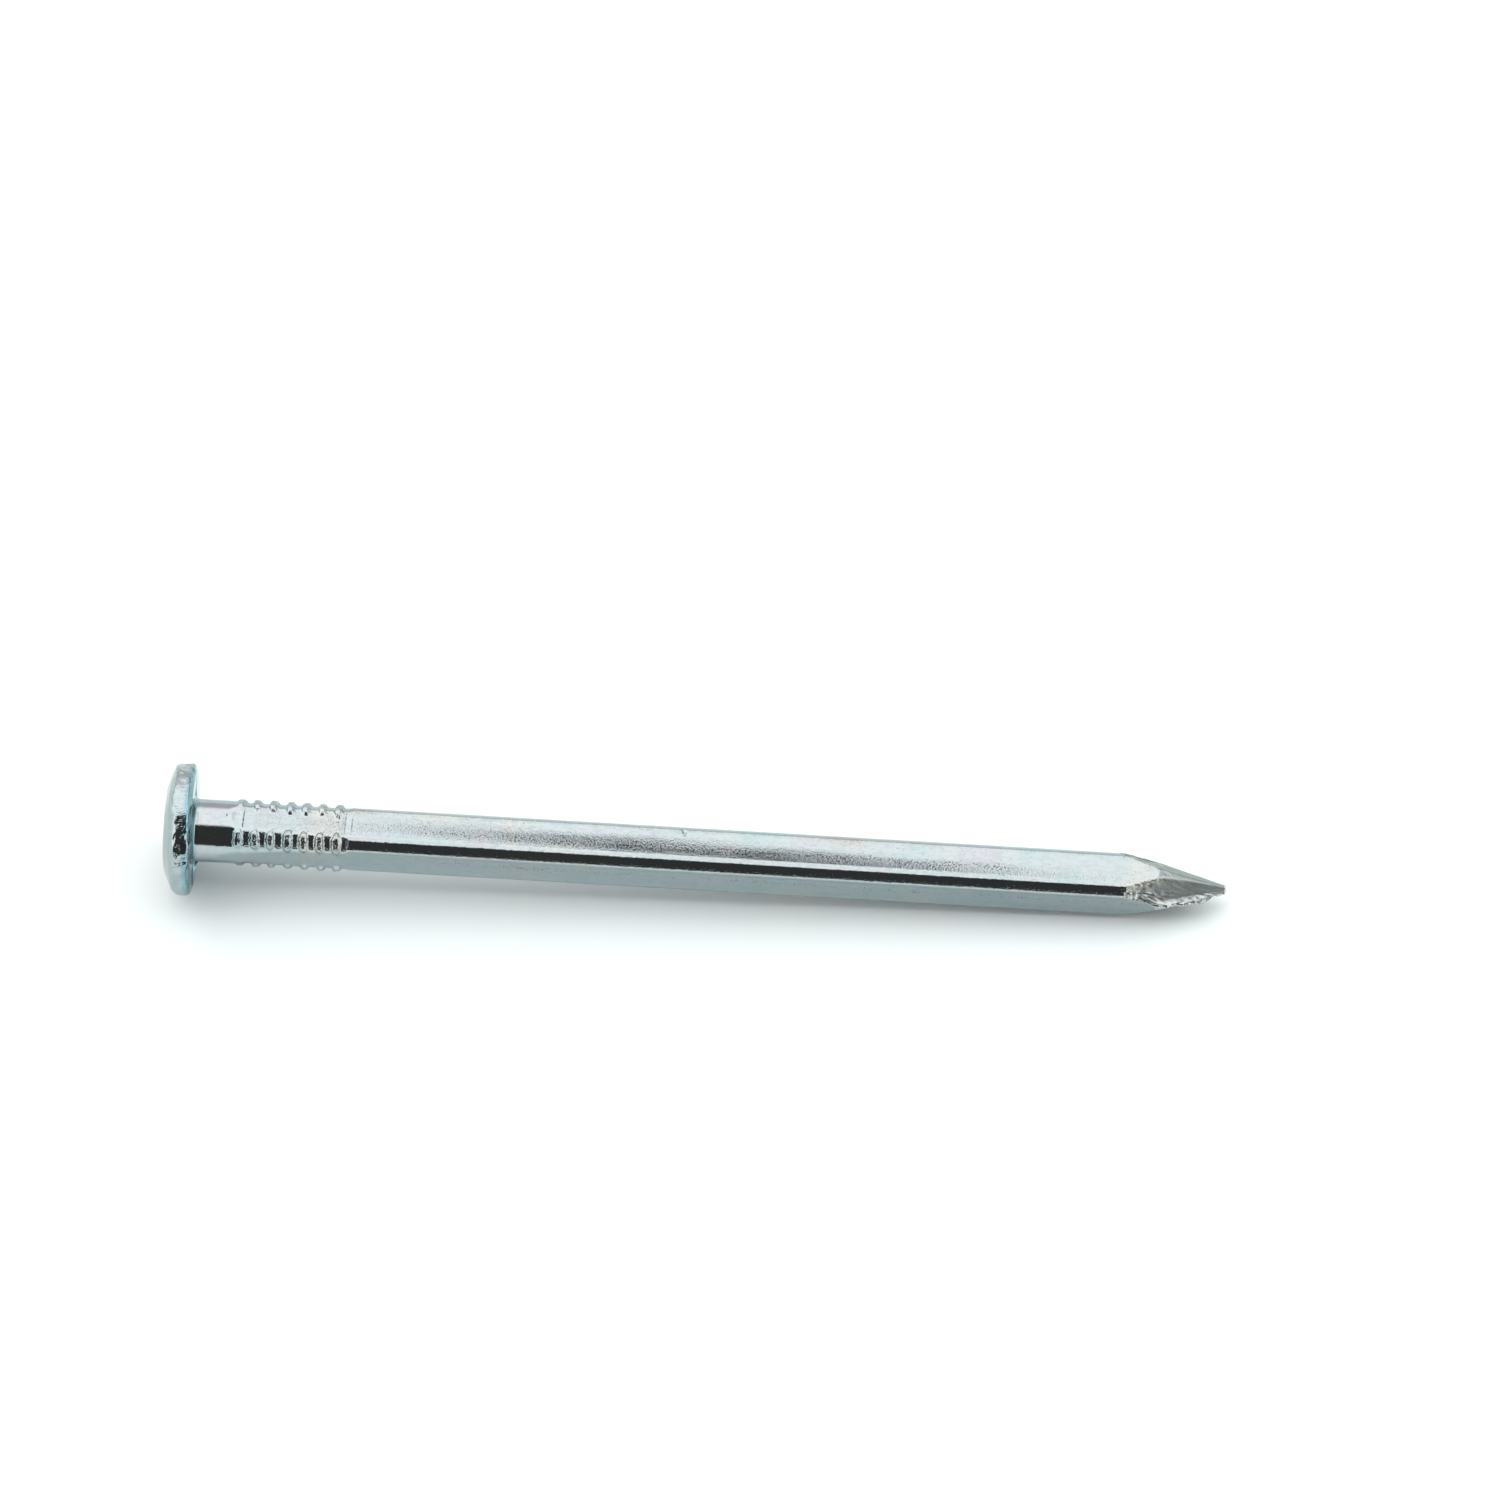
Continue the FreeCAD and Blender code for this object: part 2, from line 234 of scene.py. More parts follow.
def soft_min(first, second, softness):
    """The smaller of two, blended where they are nearly equal."""
    share = np.clip(0.5 + 0.5 * (second - first) / softness, 0.0, 1.0)
    return second + (first - second) * share - softness * share * (1.0 - share)


def soft_max(first, second, softness):
    """The larger of two, blended in the same way."""
    return -soft_min(-first, -second, softness)


class Noise:
    """Smooth three-dimensional noise from about -1 to 1, the same on every run."""

    def __init__(self, seed):
        source = np.random.RandomState(seed)
        self.order = source.permutation(256)
        slopes = source.normal(size=(256, 3))
        self.slopes = slopes / np.linalg.norm(slopes, axis=1, keepdims=True)

    def at(self, points, size):
        """Noise whose bumps are about this size, at each point."""
        scaled = np.asarray(points) / size
        cell = np.floor(scaled).astype(int)
        part = scaled - cell
        fade = part ** 3 * (part * (part * 6.0 - 15.0) + 10.0)
        total = np.zeros(scaled.shape[:-1])
        for corner in itertools.product((0, 1), repeat=3):
            here = (cell + corner) % 256
            pick = self.order[here[..., 0]]
            pick = self.order[(pick + here[..., 1]) % 256]
            pick = self.order[(pick + here[..., 2]) % 256]
            weight = np.where(np.array(corner) == 1, fade, 1.0 - fade).prod(axis=-1)
            total += weight * (self.slopes[pick] * (part - corner)).sum(axis=-1)
        return total * 1.5

    def rough(self, points, size, octaves=3):
        """The same noise with finer bumps added."""
        total = np.zeros(np.asarray(points).shape[:-1])
        for octave in range(octaves):
            total += self.at(points, size / 2 ** octave) / 2 ** octave
        return total


def in_space(along, out, angle):
    """Nail coordinates as ordinary points in millimetres, for noise."""
    along, out, angle = np.broadcast_arrays(along, out, angle)
    return np.stack([along, out * np.cos(angle), out * np.sin(angle)], axis=-1)


# ---------------------------------------------------------------------------------------
# Where the mesh has its columns: closer together over the lands, where the beads are
# ---------------------------------------------------------------------------------------
COLUMNS = 160
LAND_CROWDING = 0.55


def column_angles(count):
    """Angles round the axis in radians, crowded towards the four lands."""
    even = np.arange(count) * 2.0 * math.pi / count
    return even + LAND_CROWDING / 4.0 * np.sin(4.0 * even)


def angle_from(angle, centre_degrees):
    """Signed angle in radians from a centre line, from -pi to pi."""
    return (angle - math.radians(centre_degrees) + math.pi) % (2.0 * math.pi) - math.pi


# ---------------------------------------------------------------------------------------
# Head
# ---------------------------------------------------------------------------------------
CORNER_POINTS = 12            # points that round one corner of the profile
CROWN_STEP = 0.16             # spacing of the mesh on the crown,
RIM_STEP = 0.062              # on the rim
UNDERSIDE_STEP = 0.075        # and elsewhere


def rounded_path(corners, step):
    """A path through corners (along, out, rounding), its corners rounded, in measured steps."""
    points = [np.array(corners[0][:2], float)]
    for before, corner, after in zip(corners, corners[1:], corners[2:]):
        here = np.array(corner[:2], float)
        back = np.array(before[:2], float) - here
        ahead = np.array(after[:2], float) - here
        back /= np.linalg.norm(back)
        ahead /= np.linalg.norm(ahead)
        half_turn = 0.5 * math.acos(np.clip(back @ ahead, -1.0, 1.0))
        reach = corner[2] / math.tan(half_turn)
        for share in np.linspace(0.0, 1.0, CORNER_POINTS):
            start = here + back * reach * (1.0 - share)
            end = here + ahead * reach * share
            points.append(start * (1.0 - share) + end * share)
    points.append(np.array(corners[-1][:2], float))
    along, out = np.array(points).T
    gaps = np.linalg.norm(np.diff(np.array(points), axis=0), axis=1)
    place = np.concatenate([[0.0], np.cumsum(gaps)])
    wanted = [0.0]
    while wanted[-1] < place[-1]:
        here = wanted[-1]
        wanted.append(here + step(np.interp(here, place, along), np.interp(here, place, out)))
    wanted = np.array(wanted) * place[-1] / wanted[-1]
    return np.stack([np.interp(wanted, place, along), np.interp(wanted, place, out)], axis=1)


def head_step(along, out):
    """Mesh spacing along the head's profile: coarse on the crown, fine at the rim."""
    if along < -RIM_HEIGHT - 0.35:
        return CROWN_STEP
    return RIM_STEP if out > HEAD_RADIUS - 0.9 else UNDERSIDE_STEP


def head_path():
    """The head's nominal profile, from the middle of the crown to the neck."""
    return rounded_path([
        (-HEAD_HEIGHT, 0.0, 0.0),
        (-HEAD_HEIGHT + 0.03, 1.5, 4.0),
        (-HEAD_HEIGHT + CROWN_DOME, CROWN_RADIUS, 1.6),
        (-RIM_HEIGHT - 0.03, HEAD_RADIUS, 0.44),
        (0.0, HEAD_RADIUS, 0.4),
        (0.0, LEDGE_RADIUS + 0.05, 0.06),
        (LEDGE_HEIGHT, LEDGE_RADIUS - 0.05, 0.06),
        (LEDGE_HEIGHT + 0.03, NECK_RADIUS, 0.16),
        (HEAD_END, NECK_RADIUS, 0.0),
    ], head_step)


def with_lean(along, rim_here):
    """Stretch the rim to its height at each angle, and the crown to fill what is left."""
    on_rim = along * rim_here / RIM_HEIGHT
    above = (along + RIM_HEIGHT) * (HEAD_HEIGHT - rim_here) / (HEAD_HEIGHT - RIM_HEIGHT)
    on_crown = -rim_here + above
    return np.where(along > 0.0, along, np.where(along > -RIM_HEIGHT, on_rim, on_crown))


def rim_lumps(along, spots, rim_here, noise):
    """Shift of the rim's lumpy, bowed steel from its nominal surface, never above it."""
    x, y, z = np.moveaxis(spots, -1, 0)
    slanted = np.stack([x - LUMP_SLANT * z, LUMP_SQUEEZE * y, LUMP_SQUEEZE * z], axis=-1)
    lumps = LUMP_LEVEL + LUMP_HEIGHT * noise.at(slanted, LUMP_SIZE)
    lumps = lumps + CHIP_HEIGHT * noise.rough(slanted, CHIP_SIZE, 2)
    middle = np.clip((along + 0.5 * rim_here) / (0.5 * rim_here), -1.2, 1.2)
    return soft_min(lumps - RIM_BARREL * middle ** 2, 0.0, 0.06)


def crease(along, spots, angle, rim_here, noise):
    """Depth of the lap between the crown and the rim, which is open on one side only."""
    lap = along + rim_here + CREASE_PLACE + CREASE_WAVE * noise.at(spots, 1.1)
    towards = 0.5 * np.cos(angle - math.radians(CREASE_ANGLE))
    open_here = smooth_step(-0.1, 0.5, noise.at(spots, 2.3) + towards)
    return CREASE_DEPTH * open_here * np.exp(-(lap / CREASE_WIDTH) ** 2)


def head_grid(angles, noise):
    """Along and out of each vertex of the head, and how rough its steel is there."""
    path = head_path()
    slope = np.gradient(path, axis=0)
    slope /= np.linalg.norm(slope, axis=1, keepdims=True)
    along = np.repeat(path[:, :1], len(angles), axis=1)
    out = np.repeat(path[:, 1:], len(angles), axis=1)
    angle = np.broadcast_to(angles, along.shape)
    rim_here = RIM_HEIGHT + RIM_LEAN * np.cos(angle - math.radians(RIM_LEAN_ANGLE))
    along = with_lean(along, rim_here)

    spots = in_space(along, out, angle)
    rim = smooth_step(*RIM_FROM, out) * smooth_step(-rim_here - 0.3, -rim_here, along)
    crown = smooth_step(*CROWN_FROM, along)
    dents = DENT_HEIGHT * noise.at(spots, DENT_SIZE)
    dents = dents + FINE_DENT_HEIGHT * noise.at(spots, FINE_DENT_SIZE)
    shift = rim * rim_lumps(along, spots, rim_here, noise) + crown * (1.0 - rim) * dents
    shift += ((1.0 - rim) * (1.0 - crown) * FINE_DENT_HEIGHT
              * noise.at(spots, UNDERSIDE_DENT_SIZE))
    shift -= crease(along, spots, angle, rim_here, noise)
    along = along - shift * slope[:, 1:]
    out = np.maximum(out + shift * slope[:, :1], 0.0)
    along, fin = with_fins(along, out, angle, noise)
    tilt = HEAD_TILT * out * np.cos(angle - math.radians(HEAD_TILT_ANGLE))
    along = along + tilt * smooth_step(HEAD_END, 0.3, along)
    return along, out, np.clip(rim + 0.6 * fin, 0.0, 1.0)


def with_fins(along, out, angle, noise):
    """Raise the two thin fins of flash on the underside, from the neck towards the rim."""
    raised = along.copy()
    strength = np.zeros_like(along)
    for centre, share in FINS:
        aside = out * np.sin(angle_from(angle, centre))
        facing = np.cos(angle_from(angle, centre)) > 0.0
        ridge = np.exp(-(aside / FIN_WIDTH) ** 2) * facing
        fall = FIN_HEIGHT * np.exp((NECK_RADIUS - out) / FIN_FALL)
        fall += FIN_LINE * smooth_step(FIN_REACH, FIN_REACH - FIN_TAPER, out)
        uneven = 1.0 + FIN_UNEVEN * noise.at(in_space(along, out, angle), FIN_UNEVEN_SIZE)
        top = share * fall * uneven * ridge
        below = (along > -0.05) & (out > NECK_RADIUS - 0.05) & (out < FIN_REACH)
        raised = np.where(below, np.maximum(raised, top), raised)
        strength = np.maximum(strength, ridge * below)
    return raised, strength


# ---------------------------------------------------------------------------------------
# Shaft: neck, ringed part, fluted shank and point
# ---------------------------------------------------------------------------------------
NECK_STEP = 0.12              # spacing of the mesh along each part
RING_STEP = 0.062
SHANK_STEP = 0.6
NICK_STEP = 0.08
POINT_STEP = 0.068
CORNER_BLUR = 0.09            # how far the corners of a flute's deepening are rounded


def shaft_stations():
    """Where the shaft has its rings of vertices, closer together where it has detail."""
    spans = (
        (NECK_END - 1.2, NECK_STEP),
        (SHANK_START + 0.5, RING_STEP),
        (NICK_PLACE - 0.5, SHANK_STEP),
        (NICK_PLACE + 0.5, NICK_STEP),
        (SHOULDER - 0.8, SHANK_STEP),
        (LENGTH - END_ROUND, POINT_STEP),
    )
    stations = [HEAD_END]
    start = HEAD_END
    for end, step in spans:
        count = max(1, round((end - start) / step))
        stations.extend(np.linspace(start, end, count + 1)[1:])
        start = end
    return np.array(stations)


def twist_at(along):
    """How far the flutes have turned by this place, in degrees."""
    share = smooth_step(NECK_END, SHOULDER, along)
    return TWIST_START + (TWIST_END - TWIST_START) * share


def from_land(along, angle):
    """Angle from the nearest land's middle, and which land that is."""
    turned = (np.degrees(angle) - twist_at(along)) % 360.0
    which = np.floor(turned / 90.0).astype(int)
    return np.radians(turned - 90.0 * which - 45.0), which


def smoothed(along, places, shares):
    """Values between the given places, with the corners between the slopes rounded off."""
    shifts = np.linspace(-CORNER_BLUR, CORNER_BLUR, 5)
    return np.mean([np.interp(along + shift, places, shares) for shift in shifts], axis=0)


def fluted(along, angle, aside):
    """Distance from the axis to the land or flute, before the beads and the point."""
    to_shank = smooth_step(GRIP_END, SHANK_START, along)
    land = NECK_RADIUS + (GRIP_RADIUS - NECK_RADIUS) * smooth_step(NECK_END, GRIP_START, along)
    land = land + (SHANK_RADIUS - GRIP_RADIUS) * to_shank
    flat = GRIP_FLAT + (SHANK_FLAT - GRIP_FLAT) * to_shank
    nearest = np.round((np.degrees(angle) - twist_at(along)) / 90.0).astype(int) % 4
    depth = np.zeros_like(along)
    for flute, depths in enumerate(FLUTE_DEPTHS):
        depth = np.where(nearest == flute, smoothed(along, *zip(*depths)), depth)
    shallow = NECK_RADIUS + FLUTE_CLEAR
    flat = shallow + (flat - shallow) * depth
    from_flute = math.pi / 4.0 - np.abs(aside)
    across = np.tan(from_flute) / math.tan(math.radians(FLUTE_HALF_ANGLE))
    hollow = FLUTE_HOLLOW * depth * (1.0 - np.clip(across, 0.0, 1.0) ** 2)
    return soft_min(land, (flat - hollow) / np.cos(from_flute), LAND_EDGE)


def with_beads(out, along, aside, which, noise):
    """Raise the rings of beads on the lands, each a little different from the next."""
    beaded = out
    marked = np.zeros_like(out)
    vary = np.random.RandomState(11)
    ragged = noise.rough(in_space(along, out, aside + which * math.pi / 2.0), RAGGED_SIZE)
    sideways = out * np.sin(aside)
    for ring, land in itertools.product(range(RING_COUNT), range(LAND_COUNT)):
        centre = RING_FIRST + ring * RING_PITCH + vary.uniform(*BEAD_PLACES)
        half = BEAD_HALF_LENGTH * vary.uniform(*BEAD_LENGTHS) * (FIRST_BEAD if ring == 0 else 1.0)
        rise = BEAD_RISE * vary.uniform(*BEAD_RISES)
        slew = vary.uniform(*BEAD_SLEWS)
        span = BEAD_HALF_SPANS[land] * vary.uniform(*BEAD_SPANS)
        past = np.abs(sideways) + RAGGED_END * ragged - span + BEAD_END
        past = np.clip(past / BEAD_END, 0.0, 1.0)
        bend = slew * sideways + BEAD_LEAN * past ** 2
        step = (along - centre - bend) / (half * (1.0 - BEAD_END_TAPER * past ** 2))
        step = np.abs(step + RAGGED_SIDE * ragged)
        here = (which == land) & (step < 1.0) & (past < 1.0)
        back = 1.0 - smooth_step(BEAD_CREST, 1.0, step)
        end = np.sqrt(np.clip(1.0 - past ** 2, 0.0, 1.0))
        bead = GRIP_RADIUS + (rise + RAGGED_TOP * ragged) * back - BEAD_END_DROP * (1.0 - end)
        beaded = np.where(here, soft_max(beaded, bead, BEAD_BLEND), beaded)
        marked = np.maximum(marked, here * smooth_step(-0.02, 0.05, bead - out))
    return beaded, marked


def bowed(along, start, end, start_out, end_out, bulge):
    """A straight slope from one distance to another that bows outwards in the middle."""
    share = np.clip((along - start) / (end - start), 0.0, 1.0)
    return start_out + (end_out - start_out) * share + 4.0 * bulge * share * (1.0 - share)


def shear_grain(along, side, which, noise):
    """The long grain that the shear left, aslant on the facets."""
    turn = math.radians(SHEAR_ANGLE)
    stroke = along * math.cos(turn) - side * math.sin(turn)
    across = along * math.sin(turn) + side * math.cos(turn)
    return noise.at(np.stack([SHEAR_STRETCH * stroke, across, which], axis=-1), SHEAR_SIZE)


def burr_lip(along, edge, which, low_side):
    """The lip that the shear raised just inside a wide facet's low edge, from 0 to 1."""
    lip = np.clip(1.0 + edge / BURR_WIDTH, 0.0, 1.0) ** BURR_CURVE
    lip = lip * smooth_step(BURR_DROP, 0.0, edge) * np.array(BURR_SHARES)[which]
    return lip * low_side * smooth_step(*BURR_START, along)


def with_point(out, along, aside, which, angle, noise):
    """Cut the four wide facets and the four narrow ones between them, sheared and burred.

    The masks that come back are of the facets, the burr, the mottled border and the gouges.
    """
    spots = in_space(along, out, angle)
    torn = noise.rough(spots, TORN_SIZE)
    low_side = np.where(which % 2 == 0, aside < 0.0, aside > 0.0)

    bulge = np.array(FACET_BULGES)[which]
    wide = bowed(along, SHOULDER, LENGTH, SHANK_RADIUS, POINT_END, bulge)
    wide = wide + TORN_START * torn * smooth_step(SHOULDER + 3.0, SHOULDER + 0.6, along)
    wide = wide + TORN_FACET * torn
    wide = wide + SHEAR_HEIGHT * shear_grain(along, out * np.sin(aside), which, noise)
    wide = wide / np.cos(aside)
    at_point = along > SHOULDER - 0.3
    cut = np.where(at_point, soft_min(out, wide, FACET_EDGE), out)
    facet = at_point * smooth_step(-0.01, 0.03, out - wide)

    narrow = bowed(along, WEDGE_START, LENGTH, SHANK_FLAT - WEDGE_SINK, WEDGE_END, WEDGE_BULGE)
    narrow = narrow + np.where(low_side, TORN_LOW_EDGE, TORN_HIGH_EDGE) * torn
    narrow = narrow / np.cos(math.pi / 4.0 - np.abs(aside))
    past = along > WEDGE_START - 0.5
    wedge = past * smooth_step(-0.01, 0.02, cut - narrow)
    cut = np.where(past, soft_min(cut, narrow, WEDGE_EDGE), cut)

    edge = np.where(past, wide - narrow, wide - out)
    burr = burr_lip(along, edge, which, low_side)
    lumpy = np.clip(0.9 + BURR_LUMP * noise.rough(spots, BURR_LUMP_SIZE, 2), 0.4, 1.2)
    cut = cut + BURR_HEIGHT * burr * lumpy * smooth_step(LENGTH, LENGTH - BURR_FADE, along)
    burr = np.maximum(wedge * low_side, burr)
    facet = facet * (1.0 - burr)
    early = facet * smooth_step(SHOULDER + 4.5, SHOULDER + 1.5, along)
    mottled = early * ~low_side * np.exp(-(edge / MOTTLED_WIDTH) ** 2)
    gouged = early * low_side * (1.0 - mottled)
    return cut, facet, burr, mottled, gouged


def shaft_grid(angles, noise):
    """Along and out of each vertex of the shaft, and its two sets of masks."""
    along, angle = np.meshgrid(shaft_stations(), angles, indexing="ij")
    aside, which = from_land(along, angle)
    out = fluted(along, angle, aside)
    spots = in_space(along, out, angle)
    rolled = np.stack([spots[..., 0] * ROLLED_STRETCH, spots[..., 1], spots[..., 2]], axis=-1)
    out = out + ROLLED_HEIGHT * noise.at(rolled, ROLLED_SIZE)
    out = out + RIPPLE_HEIGHT * noise.at(spots, RIPPLE_SIZE)
    from_nick = np.hypot(along - NICK_PLACE, SHANK_RADIUS * angle_from(angle, NICK_ANGLE))
    out = out - NICK_DEPTH * np.exp(-(from_nick / NICK_SIZE) ** 2)
    out, bead = with_beads(out, along, aside, which, noise)
    out, facet, burr, mottled, gouged = with_point(out, along, aside, which, angle, noise)
    none = np.zeros_like(out)
    surface = np.stack([bead, none, facet, burr], axis=-1)
    torn = np.stack([mottled, gouged, none, none], axis=-1)
    return along, out, surface, torn


def blunt_end(angles, along, out, noise):
    """Rings that close the end of the point with a small rough dome."""
    for share in (0.35, 0.65, 0.9):
        far = along[-1] + END_ROUND * share
        radius = out[-1] * (0.35 + 0.65 * math.sqrt(1.0 - share ** 2))
        spots = in_space(far, radius, angles)
        radius = radius * (1.0 + 0.08 * noise.at(spots, 0.15))
        yield far + 0.03 * noise.at(spots, 0.2), radius


# ---------------------------------------------------------------------------------------
# One closed mesh
# ---------------------------------------------------------------------------------------
# The channels of each colour attribute that the mesh carries
MASKS = {
    "surface": ("bead", "rough_rim", "facet", "burr"),
    "wear_and_shade": ("speckle", "stain", "land", "underside"),
    "torn": ("mottled", "gouged", "low_crown", "crown"),
}
UNMARKED = (0.0, 0.0, 0.0, 0.0)
BURRED = (0.0, 0.0, 0.0, 1.0)  # of "surface"


def ring_faces(first, second, count):
    """Quads between two rings of the same count, given the index of each one's first vertex."""
    return [
        (first + i, first + (i + 1) % count, second + (i + 1) % count, second + i)
        for i in range(count)
    ]


def halving_faces(fine, coarse, coarse_count):
    """Triangles from a ring to one with half as many vertices."""
    faces = []
    for i in range(coarse_count):
        a, b, c = fine + 2 * i, fine + 2 * i + 1, fine + (2 * i + 2) % (2 * coarse_count)
        near, far = coarse + i, coarse + (i + 1) % coarse_count
        faces.extend([(a, b, near), (b, far, near), (b, c, far)])
    return faces


def add_masks(mesh, name, values):
    """Store four numbers from 0 to 1 for each vertex, for the material to read."""
    stored = mesh.color_attributes.new(name, "FLOAT_COLOR", "POINT")
    stored.data.foreach_set("color", values.astype(np.float32).ravel())


def wear_and_shade_masks(points, noise):
    """Speckle, stain, the lands' rough grain and the painted shade under the head, from each
    place.
    """
    offset = (points - np.array(ORIGIN)) / MM
    along = offset @ np.array(AXIS)
    sideways = offset @ np.array(ACROSS)
    height = offset @ np.array(UP)
    from_axis = np.hypot(sideways, height)
    angle = np.degrees(np.arctan2(height, -sideways)) % 360.0
    ragged = SPECKLE_RAGGED * noise.at(offset * (0.35, 1.0, 1.0), 0.8)
    masks = np.zeros((len(points), 4))
    for centre, place, width, start, end, strength in SPECKLE_BANDS:
        turned = np.radians(angle - centre - twist_at(along))
        across = from_axis * np.sin(turned) - place + SPECKLE_WANDER * ragged
        band = np.exp(-(across / width) ** 2) * (np.cos(turned) > 0.0)
        ends = smooth_step(start, start + SPECKLE_FADE, along)
        ends = ends * smooth_step(end, end - SPECKLE_FADE, along)
        masks[:, 0] = np.maximum(masks[:, 0], strength * band * ends * (1.0 + ragged))
    for centre, place, size in STAINS:
        turned = np.radians(angle - centre)
        away = np.hypot((along - place) / size, from_axis * np.sin(turned) / STAIN_WIDTH)
        masks[:, 1] = np.maximum(masks[:, 1], np.exp(-away ** 2) * (np.cos(turned) > 0.0))
    from_middle = np.abs((angle - twist_at(along)) % 90.0 - 45.0)
    on_shaft = (along > NECK_END) * (along < SHOULDER)
    masks[:, 2] = smooth_step(*LAND_MIDDLE, from_middle) * on_shaft
    # painted shade: marks the corner under the head, which the material darkens and tints blue
    masks[:, 3] = smooth_step(*UNDERSIDE, along) * smooth_step(*UNDERSIDE_END, along)
    return np.clip(masks, 0.0, 1.0)


class Skin:
    """A closed mesh put together from rings of vertices, with two sets of four masks."""

    def __init__(self):
        self.points, self.surface, self.torn, self.faces = [], [], [], []
        self.count = 0

    def add(self, points, surface=UNMARKED, torn=UNMARKED):
        """Add vertices and their masks, and return the index of the first one."""
        first = self.count
        self.points.append(points)
        self.surface.append(np.broadcast_to(surface, (len(points), 4)))
        self.torn.append(np.broadcast_to(torn, (len(points), 4)))
        self.count += len(points)
        return first


def add_head(skin, angles, noise):
    """The head, from a single vertex in the middle of the crown to the neck."""
    along, out, rough = head_grid(angles, noise)
    count = len(angles)
    none = np.zeros(count)
    skin.add(to_frame(along[1].mean(), 0.0, 0.0)[None])  # level with the ring round it
    for row in range(1, len(along)):
        crown = smooth_step(*CROWN_FILM_FROM, along[row])
        low_crown = crown * smooth_step(*LOW_CROWN, out[row] * np.sin(angles))
        start = skin.add(to_frame(along[row], out[row], angles),
                         np.stack([none, rough[row], none, none], axis=1),
                         np.stack([none, none, low_crown, crown], axis=1))
        if row == 1:
            skin.faces.extend((0, start + (i + 1) % count, start + i) for i in range(count))
        else:
            skin.faces.extend(ring_faces(start, start - count, count))


def add_shaft(skin, angles, noise):
    """The shaft, from the head's last ring to a single vertex at the end of the point."""
    along, out, surface, torn = (part[1:] for part in shaft_grid(angles, noise))
    count = len(angles)
    for row in range(len(along)):
        start = skin.add(to_frame(along[row], out[row], angles), surface[row], torn[row])
        if row == 0:
            turned = halving_faces(start - 2 * count, start, count)
            skin.faces.extend(tuple(reversed(face)) for face in turned)
        else:
            skin.faces.extend(ring_faces(start, start - count, count))
    for far, radius in blunt_end(angles, along, out, noise):
        start = skin.add(to_frame(far, radius, angles), BURRED)
        skin.faces.extend(ring_faces(start, start - count, count))
    last = skin.count - count
    tip = skin.add(to_frame(LENGTH, 0.0, 0.0)[None], BURRED)
    skin.faces.extend((tip, last + i, last + (i + 1) % count) for i in range(count))


def build_nail():
    """The whole nail as one closed mesh, with masks that its material reads."""
    noise = Noise(7)
    angles = column_angles(2 * COLUMNS)
    skin = Skin()
    add_head(skin, angles, noise)
    add_shaft(skin, angles[::2], noise)
    points = np.concatenate(skin.points)
    mesh = bpy.data.meshes.new("nail_steel")
    mesh.from_pydata(points.tolist(), [], skin.faces)
    mesh.update()
    add_masks(mesh, "surface", np.concatenate(skin.surface))
    add_masks(mesh, "torn", np.concatenate(skin.torn))
    add_masks(mesh, "wear_and_shade", wear_and_shade_masks(points, noise))
    mesh.polygons.foreach_set("use_smooth", [True] * len(mesh.polygons))
    piece = bpy.data.objects.new("nail_steel", mesh)
    bpy.context.scene.collection.objects.link(piece)
    return piece


# ---------------------------------------------------------------------------------------
# Material
# ---------------------------------------------------------------------------------------
class Graph:
    """Short ways to add nodes to one node tree and join them."""

    def __init__(self, tree):
        self.nodes, self.links = tree.nodes, tree.links

    def feed(self, socket, value):
        """Link a socket to another node's output, or give it a plain value."""
        if isinstance(value, bpy.types.NodeSocket):
            self.links.new(value, socket)
        elif value is not None:
            socket.default_value = value

    def math(self, operation, first, second=None):
        """One operation on sockets or plain numbers."""
        node = self.nodes.new("ShaderNodeMath")
        node.operation = operation
        self.feed(node.inputs[0], first)
        self.feed(node.inputs[1], second)
        return node.outputs["Value"]

    def total(self, first, *others):
        """The sum of several sockets."""
        for other in others:
            first = self.math("ADD", first, other)
        return first

    def product(self, first, *others):
        """The product of several sockets and numbers."""
        for other in others:
            first = self.math("MULTIPLY", first, other)
        return first

    def ramp(self, source, low, high, start=0.0, end=1.0):
        """A soft step from start to end as the source goes from low to high."""
        node = self.nodes.new("ShaderNodeMapRange")
        node.interpolation_type = "SMOOTHSTEP"
        limits = {"From Min": low, "From Max": high, "To Min": start, "To Max": end}
        for name, value in limits.items():
            node.inputs[name].default_value = value
        self.feed(node.inputs["Value"], source)
        return node.outputs["Result"]

    def moved(self, place, turn=(0.0, 0.0, 0.0), scale=(1.0, 1.0, 1.0), shift=(0.0, 0.0, 0.0)):
        """Coordinates turned, stretched and shifted."""
        node = self.nodes.new("ShaderNodeMapping")
        self.feed(node.inputs["Vector"], place)
        node.inputs["Rotation"].default_value = turn
        node.inputs["Scale"].default_value = scale
        node.inputs["Location"].default_value = shift
        return node.outputs["Vector"]

    def noise(self, place, size, detail=2.0, rough=0.5):
        """Noise from 0 to 1 whose features are about this many millimetres."""
        node = self.nodes.new("ShaderNodeTexNoise")
        self.feed(node.inputs["Vector"], place)
        node.inputs["Scale"].default_value = 1.0 / (size * MM)
        node.inputs["Detail"].default_value = detail
        node.inputs["Roughness"].default_value = rough
        return node.outputs["Fac"]

    def tint(self, share, first, second, blend="MIX"):
        """A colour between two others, or the first tinted by the second."""
        node = self.nodes.new("ShaderNodeMix")
        node.data_type = "RGBA"
        node.blend_type = blend
        self.feed(node.inputs[0], share)
        self.feed(node.inputs[6], first)
        self.feed(node.inputs[7], second)
        return node.outputs[2]

    def masks(self, name):
        """The four channels of a colour attribute."""
        node = self.nodes.new("ShaderNodeAttribute")
        node.attribute_name = name
        parts = self.nodes.new("ShaderNodeSeparateColor")
        self.links.new(node.outputs["Color"], parts.inputs["Color"])
        return [*parts.outputs, node.outputs["Alpha"]]


